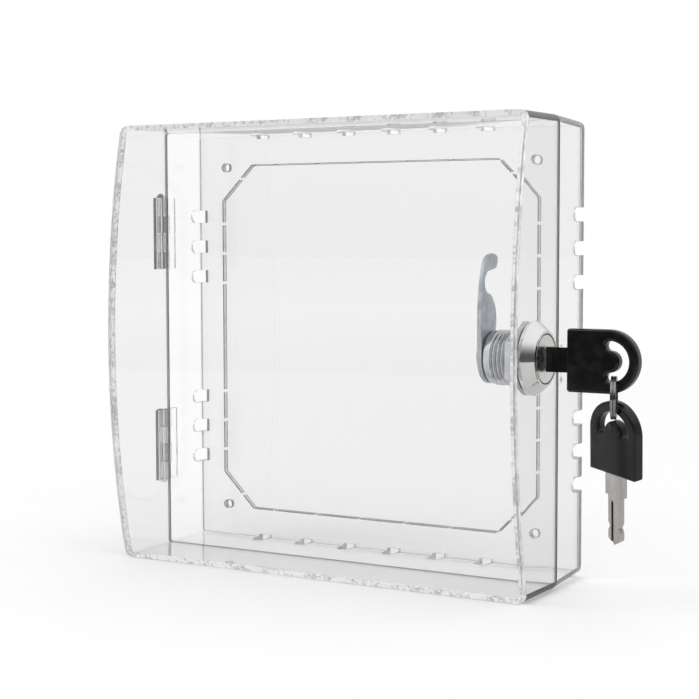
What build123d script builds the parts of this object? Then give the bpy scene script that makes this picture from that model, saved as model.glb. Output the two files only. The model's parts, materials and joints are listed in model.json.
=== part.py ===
"""Thermostat lock box: a clear acrylic guard that is screwed to a wall round a thermostat.

A shallow base stays on the wall. A deeper cover with a bowed front swings on two small pin hinges
outside the left wall. A cam lock through the cover's right wall turns a hook behind a keeper tab
in the base. One key is in the lock, and a spare hangs from it on a split ring.

Frame: X to the right, Y into the wall, Z up. The origin is the centre of the four screw holes, on
the rear face that lies against the wall. All sizes are in millimetres and degrees.
"""
import os

from build123d import *

# Box, seen from the front. The screw pattern sits nearer the hinges than the box's own centre.
outer_width = 171.0
outer_height = 168.0
rear_draft = 1.1
corner_radius = 3.0
wall = 2.0
box_shift = 2.8

# Box, seen from the side, measured forwards from the rear face.
base_depth = 25.0
split_gap = 0.5
front_corner_depth = 53.5
panel_thickness = 3.0
panel_bow = 9.3
plate_thickness = 3.0

# Screw holes in the rear plate.
hole_margin_x = 17.5
hole_margin_z = 15.0
hole_diameter = 4.0

# Break-out panel in the rear plate: a slit round an octagon, held by short bridges.
knockout_margin_x = 16.25
knockout_margin_z = 14.25
knockout_corner = 14.5
knockout_round = 2.0
slit_width = 1.0
bridge_width = 1.5
bridge_pitch_x = 20.0
bridge_shift_x = 5.0
bridge_pitch_z = 12.0
bridge_group_z = 34.2
bridge_diagonal_share = 0.38

# Vent notches, open at the rear edge.
vent_width = 5.0
vent_depth = 9.0
vent_reach = 5.0
vent_pitch_x = 20.0
vent_pitch_z = 12.25
vent_group_z = 36.95

# Hinges, mirrored about the middle of the box.
hinge_middle_z = 42.4
hinge_length = 28.4
knuckle_count = 4
knuckle_gap = 0.3
knuckle_radius = 2.15
hinge_stand_off = 2.3
leaf_reach = 6.3
leaf_thickness = 1.4
pin_radius = 1.0
pin_clearance = 0.05
pin_flange_radius = 1.75
pin_flange_thickness = 0.5
pin_dome_height = 1.25

# Cam lock. Distances along its axis are counted outwards from the cover's right face.
lock_depth = 47.3
lock_z = 0.0
lock_clearance = 0.05
end_play = 0.1
bezel_radius = 12.8
bezel_rim = 1.5
bezel_height = 5.2
bezel_land = 1.2
body_radius = 9.5
body_length = 14.0
wall_hole_clearance = 0.1
lock_washer_radius = 12.0
lock_washer_thickness = 0.6
nut_across_flats = 22.0
nut_thickness = 2.2
plug_radius = 6.0
plug_head_radius = 8.3
plug_head_thickness = 2.0
tang_size = 7.0

# Wafers in the plug, and their springs.
wafer_count = 5
wafer_pitch = 2.6
first_wafer_depth = 0.4
wafer_thickness = 0.8
wafer_width = 6.6
wafer_height = 9.8
wafer_slot_clearance = 0.1
wafer_ear_reach = 4.9
wafer_ear_top = 3.2
wafer_ear_thickness = 1.0
spring_radius = 0.5
spring_wire = 0.12
spring_turns = 5
spring_offset = 4.2
spring_pocket_clearance = 0.13

# Hook cam, its washer and its screw. Cam outline: across is rearwards, up is upwards.
cam_gap = 0.3
cam_thickness = 1.8
cam_disc_radius = 9.0
cam_hole_clearance = 0.05
cam_straight_height = 14.0
cam_front_bend = (-6.0, 31.2)
cam_top_front = (-2.4, 35.0)
cam_top_rear = (3.8, 34.4)
cam_hook_tip = (3.8, 32.3)
cam_throat_mouth = (2.7, 30.5)
cam_throat_top = (-1.9, 29.7)
cam_throat_back = (-6.2, 25.7)
cam_throat_bottom = (-1.9, 21.9)
cam_belly = (2.3, 16.7)
cam_root = (2.7, 10.2)
cam_washer_radius = 5.5
cam_washer_thickness = 0.8
screw_radius = 2.0
screw_length = 2.8
screw_head_radius = 4.2
screw_head_height = 2.1
screw_recess_width = 0.9
screw_recess_depth = 1.1

# Keeper tab in the base, behind the cam's throat.
keeper_thickness = 3.0
keeper_throat_offset = 0.9
keeper_top = 3.0
keeper_height = 14.0
keeper_past_cam = 1.7
keeper_round = 2.0

# Keys. Along a key, zero is where the head meets the blade, and the bow is the positive way.
head_length = 25.4
head_width = 21.4
head_thickness = 4.2
head_round = 0.9
head_corner = 1.0
bow_slot_centre = 15.0
bow_slot_radius = 5.3
bow_slot_width = 3.3
bow_slot_half_angle = 85.0
shoulder_width = 8.4
neck_thickness = 3.0
neck_cover = 4.9
blade_width = 5.8
blade_thickness = 2.0
blade_clearance = 0.3
blade_in_lock = 17.5
neck_length = 7.8
blade_tip = 2.0
blade_notch_depth = 0.8
blade_notch_from_tip = 6.5
blade_notch_width = 1.6
groove_width = 0.9
groove_depth = 0.4
groove_offset = 0.9
blade_root = 9.0

# Split ring and the way it and the spare key hang.
ring_inner_radius = 6.4
ring_wire = 0.9
ring_width = 2.0
ring_groove = 0.25
ring_turn = 18.0
ring_from_face = 29.6
ring_lift = 1.4
spare_turn = 42.0
spare_lean = 11.3
spare_lift = 2.1
spare_side = 1.0


# Places worked out from the sizes above.
rear_width = outer_width - 2 * rear_draft
rear_height = outer_height - 2 * rear_draft
hole_spacing_x = outer_width - 2 * hole_margin_x
hole_spacing_z = outer_height - 2 * hole_margin_z
knockout_width = outer_width - 2 * knockout_margin_x
knockout_height = outer_height - 2 * knockout_margin_z
bow_radius = ((outer_height / 2) ** 2 + panel_bow**2) / (2 * panel_bow)
knuckle_pitch = hinge_length / knuckle_count
hinge_x = box_shift - outer_width / 2 - hinge_stand_off
hinge_axis_depth = base_depth + split_gap / 2
panel_seat_depth = front_corner_depth - panel_thickness
cover_rear_depth = base_depth + split_gap
right_face_x = box_shift + outer_width / 2
lock_point = Vector(right_face_x, -lock_depth, lock_z)
lock_axis = Axis(lock_point, (1, 0, 0))
lock_face = Plane(lock_point, x_dir=(0, 1, 0), z_dir=(1, 0, 0))
lock_section = Plane(lock_point, x_dir=(0, 1, 0), z_dir=(0, 0, -1))
plug_back = -body_length - cam_gap
cam_back = plug_back - cam_thickness
washer_back = cam_back - cam_washer_thickness


def outline(depth, inset=0.0):
    """The box's outside at one distance from the rear face, drawn in by the inset."""
    drawn_in = rear_draft * max(1.0 - depth / base_depth, 0.0) + inset
    width = outer_width - 2 * drawn_in
    height = outer_height - 2 * drawn_in
    plane = Plane((box_shift, -depth, 0), x_dir=(1, 0, 0), z_dir=(0, -1, 0))
    with BuildSketch(plane) as section:
        RectangleRounded(width, height, corner_radius - inset)
    return section.sketch


def left_face_x(depth):
    """Where the box's left face stands at one distance from the rear face."""
    return box_shift - outer_width / 2 + rear_draft * max(1.0 - depth / base_depth, 0.0)


def right_inner_x(depth):
    """Where the inside of the right wall stands at one distance from the rear face."""
    return 2 * box_shift - left_face_x(depth) - wall


def ahead_of_bow(corner_depth):
    """All the room ahead of a bowed surface that meets the top and bottom at one depth."""
    centre_depth = corner_depth + panel_bow - bow_radius
    rear_depth = corner_depth - panel_bow / 2
    front_depth = corner_depth + 4 * panel_bow
    with BuildPart() as room:
        with BuildSketch(Plane.YZ.offset(box_shift)):
            with Locations((-(rear_depth + front_depth) / 2, 0)):
                Rectangle(front_depth - rear_depth, outer_height + 2 * panel_bow)
            with Locations((-centre_depth, 0)):
                Circle(bow_radius, mode=Mode.SUBTRACT)
        extrude(amount=outer_width, both=True)
    return room.part


def save(piece, name):
    """Label one finished piece and write it out."""
    piece.part.label = name
    export_step(piece.part, f"parts/{name}.step")


os.makedirs("parts", exist_ok=True)

# ---------------------------------------------------------------- vents
with BuildPart() as vents:
    for side in (-1, 1):
        edge_x = box_shift + side * (rear_width / 2 - vent_reach)
        with BuildSketch(Plane((edge_x, 0, 0), x_dir=(0, -1, 0), z_dir=(side, 0, 0))):
            with Locations((0, -vent_group_z), (0, vent_group_z)):
                with GridLocations(0, vent_pitch_z, 1, 3):
                    SlotOverall(2 * vent_depth, vent_width)
        extrude(amount=2 * vent_reach)
        edge_z = side * (rear_height / 2 - vent_reach)
        with BuildSketch(Plane((0, 0, edge_z), x_dir=(0, -1, 0), z_dir=(0, 0, side))):
            with GridLocations(0, vent_pitch_x, 1, 6):
                SlotOverall(2 * vent_depth, vent_width)
        extrude(amount=2 * vent_reach)

# ---------------------------------------------------------------- base
with BuildPart() as base_back_plate:
    loft(sections=[outline(0), outline(plate_thickness)])
    add(vents.part, mode=Mode.SUBTRACT)
    with BuildSketch(Plane.XZ):
        with GridLocations(hole_spacing_x, hole_spacing_z, 2, 2):
            Circle(hole_diameter / 2)
    extrude(amount=plate_thickness, mode=Mode.SUBTRACT)
    with BuildSketch(Plane.XZ) as slit:
        Rectangle(knockout_width + slit_width, knockout_height + slit_width)
        chamfer(slit.vertices(), knockout_corner)
        fillet(slit.vertices(), knockout_round)
        offset(amount=-slit_width, mode=Mode.SUBTRACT)
        for side in (-1, 1):
            with Locations((bridge_shift_x, side * knockout_height / 2)):
                with GridLocations(bridge_pitch_x, 0, 6, 1):
                    Rectangle(bridge_width, 3 * slit_width, mode=Mode.SUBTRACT)
            for group in (-1, 1):
                with Locations((side * knockout_width / 2, group * bridge_group_z)):
                    with GridLocations(0, bridge_pitch_z, 1, 3):
                        Rectangle(3 * slit_width, bridge_width, mode=Mode.SUBTRACT)
                corner_x = knockout_width / 2 - knockout_corner * (1 - bridge_diagonal_share)
                corner_z = knockout_height / 2 - knockout_corner * bridge_diagonal_share
                with Locations((side * corner_x, group * corner_z)):
                    Rectangle(
                        bridge_width,
                        3 * slit_width,
                        rotation=-45 * side * group,
                        mode=Mode.SUBTRACT,
                    )
    extrude(amount=plate_thickness, mode=Mode.SUBTRACT)
save(base_back_plate, "base_back_plate")

with BuildPart() as base_frame:
    loft(sections=[outline(plate_thickness), outline(base_depth)])
    loft(
        sections=[outline(plate_thickness, wall), outline(base_depth, wall)],
        mode=Mode.SUBTRACT,
    )
    add(vents.part, mode=Mode.SUBTRACT)
save(base_frame, "base_frame")

throat_middle = (cam_throat_top[1] + cam_throat_bottom[1]) / 2 + keeper_throat_offset
keeper_front_depth = lock_depth - throat_middle + keeper_thickness / 2
keeper_tip_x = right_face_x + cam_back - keeper_past_cam
keeper_rear_depth = keeper_front_depth - keeper_thickness
with BuildPart() as lock_keeper:
    with BuildSketch(Plane.XY.offset(lock_z + keeper_top - keeper_height)):
        with BuildLine():
            Polyline(
                (keeper_tip_x, -keeper_rear_depth),
                (right_inner_x(keeper_rear_depth), -keeper_rear_depth),
                (right_inner_x(keeper_front_depth), -keeper_front_depth),
                (keeper_tip_x, -keeper_front_depth),
                close=True,
            )
        make_face()
    extrude(amount=keeper_height)
    fillet(lock_keeper.edges().filter_by(Axis.Y).sort_by(Axis.X)[:2], keeper_round)
save(lock_keeper, "lock_keeper")

# ---------------------------------------------------------------- cover
room_behind_skin = ahead_of_bow(panel_seat_depth)
room_in_front = ahead_of_bow(front_corner_depth)
cover_length = front_corner_depth + 2 * panel_bow - cover_rear_depth
with BuildPart() as cover_front_panel:
    extrude(outline(cover_rear_depth), amount=cover_length)
    add(room_behind_skin, mode=Mode.INTERSECT)
    add(room_in_front, mode=Mode.SUBTRACT)
save(cover_front_panel, "cover_front_panel")

with BuildPart() as cover_frame:
    extrude(outline(cover_rear_depth), amount=cover_length)
    extrude(outline(cover_rear_depth, wall), amount=cover_length, mode=Mode.SUBTRACT)
    add(room_behind_skin, mode=Mode.SUBTRACT)
    with BuildSketch(lock_face):
        Circle(body_radius + wall_hole_clearance)
    extrude(amount=-2 * wall, mode=Mode.SUBTRACT)
save(cover_frame, "cover_frame")

# ---------------------------------------------------------------- hinges
def hinge_leaf(hand, forward, phase):
    """One leaf with its knuckles.

    hand is 1 for the upper hinge and -1 for the lower one, forward is 1 for the cover's leaf and
    -1 for the base's, and phase picks which of the knuckles, counted from the pin's head, it has.
    """
    axis_y = -hinge_axis_depth
    near = knuckle_radius + knuckle_gap
    near_depth = hinge_axis_depth + forward * near
    far_depth = hinge_axis_depth + forward * leaf_reach
    edge_depth = cover_rear_depth if forward > 0 else base_depth
    head_end = hand * (hinge_middle_z + hinge_length / 2)
    bore = pin_radius + (pin_clearance if forward > 0 else 0)
    with BuildPart() as leaf:
        with BuildSketch(Plane.XY.offset(hand * hinge_middle_z)):
            with BuildLine():
                Polyline(
                    (left_face_x(near_depth), -near_depth),
                    (left_face_x(far_depth), -far_depth),
                    (left_face_x(far_depth) - leaf_thickness, -far_depth),
                    (left_face_x(near_depth) - leaf_thickness, -near_depth),
                    close=True,
                )
            make_face()
        extrude(amount=hinge_length / 2, both=True)
        for place in range(phase, knuckle_count, 2):
            middle_z = head_end - hand * (place + 0.5) * knuckle_pitch
            with BuildSketch(Plane.XY.offset(middle_z)):
                with BuildLine():
                    Polyline(
                        (left_face_x(edge_depth), -edge_depth),
                        (left_face_x(near_depth), -near_depth),
                        (left_face_x(near_depth) - leaf_thickness, -near_depth),
                        (hinge_x, axis_y - forward * knuckle_radius),
                        (hinge_x, axis_y),
                        (hinge_x + knuckle_radius / 2, -edge_depth),
                        close=True,
                    )
                make_face()
                with Locations((hinge_x, axis_y)):
                    Circle(knuckle_radius)
                    Circle(bore, mode=Mode.SUBTRACT)
            extrude(amount=(knuckle_pitch - knuckle_gap) / 2, both=True)
    return leaf


def hinge_pin(hand):
    """A pin with a flanged round head at the box's top or bottom side of its hinge."""
    head_z = hand * (hinge_middle_z + hinge_length / 2)
    axis = Axis((hinge_x, -hinge_axis_depth, 0), (0, 0, 1))
    section = Plane((hinge_x, -hinge_axis_depth, head_z), x_dir=(1, 0, 0), z_dir=(0, -hand, 0))
    with BuildPart() as pin:
        with BuildSketch(section):
            with BuildLine():
                dome_foot = pin_flange_thickness
                Polyline(
                    (0, -hinge_length),
                    (pin_radius, -hinge_length),
                    (pin_radius, 0),
                    (pin_flange_radius, 0),
                    (pin_flange_radius, dome_foot),
                )
                RadiusArc(
                    (pin_flange_radius, dome_foot),
                    (0, dome_foot + pin_dome_height),
                    -(pin_flange_radius**2 + pin_dome_height**2) / (2 * pin_dome_height),
                )
                Line((0, dome_foot + pin_dome_height), (0, -hinge_length))
            make_face()
        revolve(axis=axis)
    return pin


for place_name, hand in (("upper", 1), ("lower", -1)):
    save(hinge_leaf(hand, -1, 0), f"{place_name}_hinge_base_leaf")
    save(hinge_leaf(hand, 1, 1), f"{place_name}_hinge_cover_leaf")
    save(hinge_pin(hand), f"{place_name}_hinge_pin")

# ---------------------------------------------------------------- lock body
bore_radius = plug_radius + lock_clearance
recess_radius = plug_head_radius + lock_clearance
recess_floor = bezel_height - plug_head_thickness - end_play
with BuildPart() as lock_housing:
    with BuildSketch(lock_section):
        with BuildLine():
            Polyline(
                (bore_radius, -body_length),
                (body_radius, -body_length),
                (body_radius, 0),
                (bezel_radius, 0),
                (bezel_radius, bezel_rim),
                (recess_radius + bezel_land, bezel_height),
                (recess_radius, bezel_height),
                (recess_radius, recess_floor),
                (bore_radius, recess_floor),
                close=True,
            )
        make_face()
    revolve(axis=lock_axis)
save(lock_housing, "lock_housing")

with BuildPart() as lock_washer:
    with BuildSketch(lock_face.offset(-wall)):
        Circle(lock_washer_radius)
        Circle(body_radius, mode=Mode.SUBTRACT)
    extrude(amount=-lock_washer_thickness)
save(lock_washer, "lock_washer")

with BuildPart() as lock_nut:
    with BuildSketch(lock_face.offset(-wall - lock_washer_thickness)):
        RegularPolygon(nut_across_flats / 2, 6, major_radius=False, rotation=30)
        Circle(body_radius, mode=Mode.SUBTRACT)
    extrude(amount=-nut_thickness)
save(lock_nut, "lock_nut")

# ---------------------------------------------------------------- plug, wafers and springs
keyway_width = blade_thickness + 2 * blade_clearance
keyway_height = blade_width + 2 * blade_clearance
keyway_depth = blade_in_lock + blade_clearance
wafer_places = [-first_wafer_depth - wafer_pitch * i for i in range(wafer_count)]
slot_thickness = wafer_thickness + 2 * wafer_slot_clearance
ear_bottom = wafer_ear_top - wafer_ear_thickness
with BuildPart() as lock_plug:
    with BuildSketch(lock_face.offset(plug_back)):
        Circle(plug_radius)
    extrude(amount=bezel_height - plug_back)
    with BuildSketch(lock_face.offset(bezel_height)):
        Circle(plug_head_radius)
    extrude(amount=-plug_head_thickness)
    with BuildSketch(lock_face.offset(plug_back)):
        Rectangle(tang_size, tang_size)
    extrude(amount=-cam_thickness)
    with BuildSketch(lock_face.offset(bezel_height)):
        Rectangle(keyway_width, keyway_height)
    extrude(amount=-keyway_depth, mode=Mode.SUBTRACT)
    for place in wafer_places:
        with BuildSketch(lock_face.offset(place - slot_thickness / 2)):
            Rectangle(wafer_width + 2 * wafer_slot_clearance, 2 * plug_radius)
            with Locations((wafer_ear_reach / 2, wafer_ear_top - wafer_ear_thickness / 2)):
                Rectangle(
                    wafer_ear_reach + 2 * wafer_slot_clearance,
                    wafer_ear_thickness + 2 * wafer_slot_clearance,
                )
        extrude(amount=slot_thickness, mode=Mode.SUBTRACT)
        pocket_foot = lock_face.from_local_coords(Vector(spring_offset, -ear_bottom, place))
        with BuildSketch(Plane(pocket_foot)):
            Circle(spring_radius + spring_pocket_clearance)
        extrude(amount=2 * ear_bottom, mode=Mode.SUBTRACT)
    with BuildSketch(lock_face.offset(cam_back)):
        Circle(screw_radius)
    extrude(amount=screw_length, mode=Mode.SUBTRACT)
save(lock_plug, "lock_plug")

with BuildPart() as lock_wafers:
    for place in wafer_places:
        with BuildSketch(lock_face.offset(place - wafer_thickness / 2)):
            Rectangle(wafer_width, wafer_height)
            with Locations((wafer_ear_reach / 2, wafer_ear_top - wafer_ear_thickness / 2)):
                Rectangle(wafer_ear_reach, wafer_ear_thickness)
            Rectangle(keyway_width, keyway_height, mode=Mode.SUBTRACT)
        extrude(amount=wafer_thickness)
save(lock_wafers, "lock_wafers")

spring_height = 2 * ear_bottom - 2 * spring_wire
with BuildPart() as wafer_springs:
    for place in wafer_places:
        spring_foot = lock_face.from_local_coords(Vector(spring_offset, -spring_height / 2, place))
        with BuildLine(Plane(spring_foot)):
            coil = Helix(spring_height / spring_turns, spring_height, spring_radius - spring_wire)
        with BuildSketch(Plane(coil @ 0, z_dir=coil % 0)):
            Circle(spring_wire)
        sweep(path=coil, is_frenet=True)
save(wafer_springs, "wafer_springs")

# ---------------------------------------------------------------- hook cam
with BuildPart() as lock_cam:
    with BuildSketch(lock_face.offset(cam_back)):
        with BuildLine():
            foot = (-cam_disc_radius, 0)
            shoulder = (-cam_disc_radius, cam_straight_height)
            Line(foot, shoulder)
            lean = TangentArc(shoulder, cam_front_bend, tangent=(0, 1))
            corner = TangentArc(cam_front_bend, cam_top_front, tangent=lean % 1)
            TangentArc(cam_top_front, cam_top_rear, tangent=corner % 1)
            Polyline(cam_top_rear, cam_hook_tip, cam_throat_mouth, cam_throat_top)
            ThreePointArc(cam_throat_top, cam_throat_back, cam_throat_bottom)
            ThreePointArc(cam_throat_bottom, cam_belly, cam_root)
            Polyline(cam_root, (0, 0), foot)
        make_face()
        Circle(cam_disc_radius)
        Rectangle(
            tang_size + 2 * cam_hole_clearance,
            tang_size + 2 * cam_hole_clearance,
            mode=Mode.SUBTRACT,
        )
    extrude(amount=cam_thickness)
save(lock_cam, "lock_cam")

with BuildPart() as cam_washer:
    with BuildSketch(lock_face.offset(washer_back)):
        Circle(cam_washer_radius)
        Circle(screw_radius, mode=Mode.SUBTRACT)
    extrude(amount=cam_washer_thickness)
save(cam_washer, "cam_washer")

with BuildPart() as cam_screw:
    with BuildSketch(lock_face.offset(washer_back)):
        Circle(screw_radius)
    extrude(amount=cam_washer_thickness + screw_length)
    with BuildSketch(lock_face.offset(washer_back)):
        Circle(screw_head_radius)
    extrude(amount=-screw_head_height)
    fillet(cam_screw.edges().sort_by(Axis.X)[0], screw_head_height / 2)
    with BuildSketch(lock_face.offset(washer_back - screw_head_height)):
        Rectangle(screw_head_radius, screw_recess_width)
        Rectangle(screw_recess_width, screw_head_radius)
    extrude(amount=screw_recess_depth, mode=Mode.SUBTRACT)
save(cam_screw, "cam_screw")


# ---------------------------------------------------------------- keys
def key(plane, cover):
    """A key's blade and its head, whose plastic covers a length of the neck.

    The plane's X runs from blade to bow, and its Y is across.
    """
    tip = -neck_length - blade_in_lock
    half = blade_width / 2
    notch = tip + blade_notch_from_tip
    notch_floor = half - blade_notch_depth
    bow_middle = head_length - head_width / 2
    slot_start = -bow_slot_half_angle
    slot_middle = CenterArc((bow_slot_centre, 0), bow_slot_radius, slot_start, -2 * slot_start)
    with BuildPart() as blade:
        with BuildSketch(plane):
            with BuildLine():
                Polyline(
                    (blade_root, half),
                    (notch + blade_notch_width, half),
                    (notch, notch_floor),
                    (notch - blade_notch_width, half),
                    (tip + blade_tip, half),
                    (tip, 0),
                    (tip + blade_tip, -half),
                    (notch - blade_notch_width, -half),
                    (notch, -notch_floor),
                    (notch + blade_notch_width, -half),
                    (blade_root, -half),
                    close=True,
                )
            make_face()
            with Locations((-(neck_length + cover) / 2, 0)):
                Rectangle(neck_length - cover, shoulder_width)
        extrude(amount=blade_thickness / 2, both=True)
        for face in (-1, 1):
            with BuildSketch(plane.offset(face * (blade_thickness / 2 - groove_depth))):
                with Locations((tip + blade_in_lock / 2 - blade_tip, face * groove_offset)):
                    Rectangle(blade_in_lock, groove_width)
            extrude(amount=face * groove_depth, mode=Mode.SUBTRACT)
    with BuildPart() as head:
        with BuildSketch(plane) as bow:
            with Locations((bow_middle / 2, 0)):
                Rectangle(bow_middle, head_width)
            with Locations((bow_middle, 0)):
                Circle(head_width / 2)
            corners = bow.vertices().sort_by(Axis(plane.origin, plane.x_dir))[:2]
            fillet(corners, head_corner)
            SlotArc(slot_middle, bow_slot_width, mode=Mode.SUBTRACT)
        extrude(amount=head_thickness / 2, both=True)
        flats = head.faces().filter_by(Axis(plane.origin, plane.z_dir))
        fillet(flats.edges(), head_round)
        if cover:
            with BuildSketch(plane):
                with Locations((-cover / 2 + head_round, 0)):
                    Rectangle(cover + 2 * head_round, shoulder_width)
            extrude(amount=neck_thickness / 2, both=True)
        add(blade.part, mode=Mode.SUBTRACT)
    return blade, head


neck_end_x = right_face_x + bezel_height + blade_clearance
key_1_plane = Plane(
    (neck_end_x + neck_length, -lock_depth, lock_z), x_dir=(1, 0, 0), z_dir=(0, -1, 0)
)
key_1_blade, key_1_head = key(key_1_plane, neck_cover)
save(key_1_blade, "key_1_blade")
save(key_1_head, "key_1_head")

# ---------------------------------------------------------------- split ring
slot_edge = bow_slot_radius + bow_slot_width / 2
ring_axis = Vector(1, 0, 0).rotate(Axis.Z, ring_turn)
ring_centre = Vector(
    right_face_x + ring_from_face,
    -lock_depth,
    lock_z - slot_edge + ring_lift - ring_inner_radius,
)
ring_section = Plane(ring_centre, x_dir=(0, 0, 1), z_dir=ring_axis.cross(Vector(0, 0, 1)))
with BuildPart() as key_ring:
    with BuildSketch(ring_section):
        with Locations((ring_inner_radius + ring_wire / 2, 0)):
            Rectangle(ring_wire, ring_width)
        with Locations((ring_inner_radius + ring_wire, 0)):
            Rectangle(ring_groove, ring_groove, rotation=45, mode=Mode.SUBTRACT)
    revolve(axis=Axis(ring_centre, ring_axis))
save(key_ring, "key_ring")

# ---------------------------------------------------------------- spare key
spare_up = Vector(0, 0, 1).rotate(Axis((0, 0, 0), ring_axis), spare_lean)
spare_across = ring_axis.rotate(Axis((0, 0, 0), spare_up), -spare_turn)
ring_bottom = ring_centre - Vector(0, 0, ring_inner_radius)
spare_arch = ring_bottom + Vector(0, 0, spare_lift) + spare_across * spare_side
spare_origin = spare_arch - spare_up * (bow_slot_centre + slot_edge)
spare_plane = Plane(spare_origin, x_dir=spare_up, z_dir=spare_up.cross(spare_across))
key_2_blade, key_2_head = key(spare_plane, 0)
save(key_2_blade, "key_2_blade")
save(key_2_head, "key_2_head")
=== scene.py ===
# %% [markdown]
# # A clear thermostat lock box
# The box is a shallow acrylic base on the wall, a deeper hinged cover with a bowed front, two small
# pin hinges, a chrome cam lock with its hook, a key in the lock and a spare key on a split ring.
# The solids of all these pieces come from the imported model, and this script gives each one its
# finish and adds what a solid can't hold: glue lines, screw threads, a real split ring.

# %% Load the frame
import json
import math

import bmesh
import bpy
from mathutils import Euler, Matrix, Vector, noise


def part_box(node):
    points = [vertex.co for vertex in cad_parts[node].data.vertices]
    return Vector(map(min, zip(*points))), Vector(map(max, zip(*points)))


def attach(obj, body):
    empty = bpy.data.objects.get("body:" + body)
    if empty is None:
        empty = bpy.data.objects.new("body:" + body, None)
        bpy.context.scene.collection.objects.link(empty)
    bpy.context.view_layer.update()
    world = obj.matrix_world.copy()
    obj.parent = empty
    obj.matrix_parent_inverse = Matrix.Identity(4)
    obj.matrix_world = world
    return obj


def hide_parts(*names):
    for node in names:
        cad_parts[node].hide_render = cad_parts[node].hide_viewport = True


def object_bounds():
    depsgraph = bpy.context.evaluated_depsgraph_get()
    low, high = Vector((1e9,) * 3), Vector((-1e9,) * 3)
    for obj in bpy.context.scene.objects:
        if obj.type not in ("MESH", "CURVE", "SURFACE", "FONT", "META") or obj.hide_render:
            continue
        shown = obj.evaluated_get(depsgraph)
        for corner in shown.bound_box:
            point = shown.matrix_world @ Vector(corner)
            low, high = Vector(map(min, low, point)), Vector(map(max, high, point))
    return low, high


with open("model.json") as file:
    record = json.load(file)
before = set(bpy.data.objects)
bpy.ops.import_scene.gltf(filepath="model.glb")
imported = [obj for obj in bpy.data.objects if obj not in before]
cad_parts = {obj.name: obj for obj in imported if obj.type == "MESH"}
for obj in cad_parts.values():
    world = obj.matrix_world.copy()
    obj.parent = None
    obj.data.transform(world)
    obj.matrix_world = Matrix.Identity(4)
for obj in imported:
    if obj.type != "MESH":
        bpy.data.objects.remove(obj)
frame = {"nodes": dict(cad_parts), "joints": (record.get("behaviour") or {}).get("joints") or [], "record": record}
cad_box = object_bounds()
nodes = frame["nodes"]
joints = {joint["name"]: joint for joint in frame["joints"]}
MM = 0.001

# %% [markdown]
# ## Places taken from the solids
# The places of the box and the lock are read from the solids' boxes, so the dressing follows the part if a size
# changes; the wall and sheet thicknesses are given as numbers. X runs to the right, Y into the wall and Z up.

# %% Measure the box and the lock
frame_low, frame_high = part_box("cover_frame")
panel_low, panel_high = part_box("cover_front_panel")
plate_low, plate_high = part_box("base_back_plate")
base_low, base_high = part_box("base_frame")
lock_low, lock_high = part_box("lock_housing")
box_middle_x = (frame_low.x + frame_high.x) / 2
box_height = frame_high.z - frame_low.z
lock_centre = Vector((frame_high.x, (lock_low.y + lock_high.y) / 2, (lock_low.z + lock_high.z) / 2))
WALL = 2.0 * MM
SHEET = 3.0 * MM
print("box", [round(v / MM, 1) for v in (frame_high.x - frame_low.x, box_height)])
print("lock centre", [round(v / MM, 1) for v in lock_centre])

# %% [markdown]
# ## Camera
# A camera can be placed by eye, or solved from points whose real places are known. Here the
# corners, the screw holes and the vents of the photograph were solved together, which gives a
# camera to the right of the box, a little above its middle, with a long lens.

# %% Place the camera
camera_data = bpy.data.cameras.new("photo_camera")
camera_data.lens = 84.5
camera_data.sensor_width = 36.0
camera_data.clip_start = 0.01
camera = bpy.data.objects.new("photo_camera", camera_data)
bpy.context.scene.collection.objects.link(camera)
bpy.context.scene.camera = camera
VIEW_AZIMUTH = math.radians(30.52)
VIEW_ELEVATION = math.radians(4.14)
VIEW_ROLL = math.radians(-0.13)
VIEW_DISTANCE = 620.8 * MM
view_target = Vector((box_middle_x + 0.16 * MM, -25.0 * MM, -1.34 * MM))
back_along_view = Vector((
    math.sin(VIEW_AZIMUTH) * math.cos(VIEW_ELEVATION),
    -math.cos(VIEW_AZIMUTH) * math.cos(VIEW_ELEVATION),
    math.sin(VIEW_ELEVATION),
))
camera.location = view_target + back_along_view * VIEW_DISTANCE
turn_to_view = back_along_view.to_track_quat("Z", "Y").to_matrix().to_4x4()
camera.rotation_euler = (turn_to_view @ Matrix.Rotation(VIEW_ROLL, 4, "Z")).to_euler()
print("camera at", [round(v / MM, 1) for v in camera.location])

# %% [markdown]
# ## Shader maths as plain Python
# A material's maths could be wired by hand, node by node, but then nobody can read it. A small
# class that wraps a socket and overloads the operators lets a finish be written as a formula.

# %% A socket that can be used in a formula, and a material that makes its own nodes
class Signal:
    """A node's output that takes part in a formula."""

    def __init__(self, finish, socket):
        self.finish = finish
        self.socket = socket

    def maths(self, operation, first, second=None):
        values = {0: first} if second is None else {0: first, 1: second}
        return self.finish.node("ShaderNodeMath", {"operation": operation}, values)["Value"]

    def __add__(self, other):
        return self.maths("ADD", self, other)

    __radd__ = __add__

    def __mul__(self, other):
        return self.maths("MULTIPLY", self, other)

    __rmul__ = __mul__

    def __sub__(self, other):
        return self.maths("SUBTRACT", self, other)

    def __rsub__(self, other):
        return self.maths("SUBTRACT", other, self)

    def __truediv__(self, other):
        return self.maths("DIVIDE", self, other)

    def __pow__(self, other):
        return self.maths("POWER", self, other)

    def __gt__(self, other):
        return self.maths("GREATER_THAN", self, other)

    def __lt__(self, other):
        return self.maths("LESS_THAN", self, other)

    def __abs__(self):
        return self.maths("ABSOLUTE", self)

    def sine(self):
        return self.maths("SINE", self)

    def ramp(self, low, high, start=0.0, end=1.0):
        """Go smoothly from start to end as the signal goes from low to high."""
        settings = {"interpolation_type": "SMOOTHSTEP"}
        values = {"Value": self, 1: low, 2: high, 3: start, 4: end}
        return self.finish.node("ShaderNodeMapRange", settings, values)["Result"]


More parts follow.
